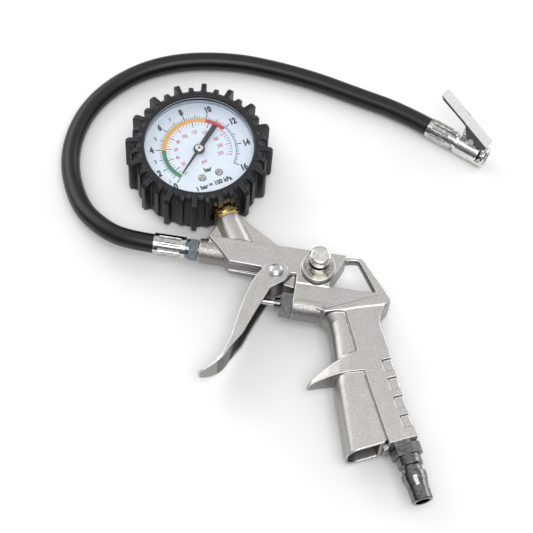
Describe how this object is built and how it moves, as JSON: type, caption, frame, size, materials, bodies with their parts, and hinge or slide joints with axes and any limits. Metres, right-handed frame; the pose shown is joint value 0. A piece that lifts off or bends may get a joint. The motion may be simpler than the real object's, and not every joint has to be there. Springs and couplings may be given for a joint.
{
  "type": "tyre inflator with gauge",
  "caption": "Hand-held tyre inflator: pistol body with a trigger valve, bleed button, dial gauge in a lugged rubber boot, and a short hose with a clip-on chuck.",
  "frame": {"origin": "middle of the box round the tool without its hose tube and chuck, at the surface it lies on", "axes": "+X along the barrel to the rear of the gun, +Y from the handle to the gauge, +Z out of the dial, away from the surface"},
  "size_m": [0.2332, 0.2515, 0.0391],
  "materials": {
    "cast_aluminium": "satin blasted casting",
    "plated_steel": "bright zinc plated",
    "dark_steel": "dark nickel plated, semi-gloss",
    "zinc_steel": "blue zinc plated",
    "nickel": "polished nickel",
    "chrome": "polished",
    "brass": "machined",
    "spring_steel": "drawn wire",
    "seal_rubber": "matte",
    "boot_rubber": "satin moulded",
    "hose_rubber": "semi-gloss",
    "case_steel": "satin",
    "lens": "clear",
    "dial_white": "printed",
    "pointer_black": "satin"
  },
  "bodies": {
    "gun": {"gun_body": "cast_aluminium", "trigger_pin": "plated_steel", "trigger_pin_retainer": "plated_steel", "valve_packing_nut": "dark_steel", "valve_stem_oring": "seal_rubber", "valve_seat": "brass", "valve_spring": "spring_steel", "bleed_bushing": "nickel", "bleed_spring": "spring_steel", "inlet_plug": "dark_steel", "inlet_seal": "seal_rubber", "gauge_socket": "brass", "gauge_boot": "boot_rubber", "gauge_case": "case_steel", "gauge_bezel": "case_steel", "gauge_lens": "lens", "lens_gasket": "seal_rubber", "dial_plate": "dial_white", "dial_screws": "plated_steel", "dial_spacers": "brass", "stop_pin": "plated_steel", "bourdon_tube": "brass", "bourdon_tip": "brass", "movement_plate_rear": "brass", "movement_plate_front": "brass", "movement_pillars": "brass", "hairspring": "spring_steel", "hose_tube": "hose_rubber", "ferrule_gun_end": "nickel", "hose_fitting_gun_end": "zinc_steel", "ferrule_chuck_end": "nickel", "hose_fitting_chuck_end": "nickel", "chuck_body": "nickel", "chuck_lever_pin": "plated_steel", "chuck_seal": "seal_rubber", "chuck_probe": "brass", "chuck_lever_spring": "spring_steel"},
    "trigger": {"trigger_lever": "cast_aluminium"},
    "valve": {"valve_stem": "plated_steel", "valve_poppet_seal": "seal_rubber"},
    "bleed": {"bleed_button": "nickel", "bleed_seal": "seal_rubber"},
    "sector": {"sector_gear": "brass"},
    "needle": {"pinion_arbor": "plated_steel", "pointer": "pointer_black", "pointer_hub": "chrome"},
    "link": {"gauge_link": "plated_steel"},
    "clip": {"chuck_lever": "chrome"}
  },
  "joints": [
    {"name": "trigger_pull", "type": "hinge", "parent": "gun", "child": "trigger", "pos_m": [-0.00179, 0.00265, 0.0142], "axis": [0, 0, 1], "range_deg": [0, 17], "stiffness_Nm_per_rad": 0.2, "springref_deg": -17.19},
    {"name": "valve_slide", "type": "slide", "parent": "gun", "child": "valve", "axis": [1, 0, 0], "range_m": [0, 0.0044], "deforming": ["valve_spring"]},
    {"name": "bleed_press", "type": "slide", "parent": "gun", "child": "bleed", "axis": [0, 0, -1], "range_m": [0, 0.0018], "stiffness_N_per_m": 900, "springref_m": -0.003, "deforming": ["bleed_spring"]},
    {"name": "sector_swing", "type": "hinge", "parent": "gun", "child": "sector", "pos_m": [-0.05869, 0.05479, 0.0142], "axis": [0, 0, 1], "range_deg": [0, 43.67], "stiffness_Nm_per_rad": 0.0008, "springref_deg": -2.86, "deforming": ["hairspring"]},
    {"name": "pointer_spin", "type": "hinge", "parent": "gun", "child": "needle", "pos_m": [-0.05279, 0.06825, 0.0142], "axis": [0, 0, -1], "range_deg": [0, 262]},
    {"name": "link_swing", "type": "hinge", "parent": "sector", "child": "link", "pos_m": [-0.0601, 0.05959, 0.0177], "axis": [0, 0, 1], "range_deg": [-43.67, 0]},
    {"name": "chuck_lever_press", "type": "hinge", "parent": "gun", "child": "clip", "pos_m": [0.09446, 0.10738, 0.01344], "axis": [-0.3614, -0.8311, 0.4226], "range_deg": [0, 20], "stiffness_Nm_per_rad": 0.5, "springref_deg": -11.46, "deforming": ["chuck_lever_spring"]}
  ],
  "couplings": [
    {"joint": "valve_slide", "follows": "trigger_pull", "m_per_rad": 0.01436},
    {"joint": "pointer_spin", "follows": "sector_swing", "ratio": 6},
    {"joint": "link_swing", "follows": "sector_swing", "ratio": -1}
  ]
}
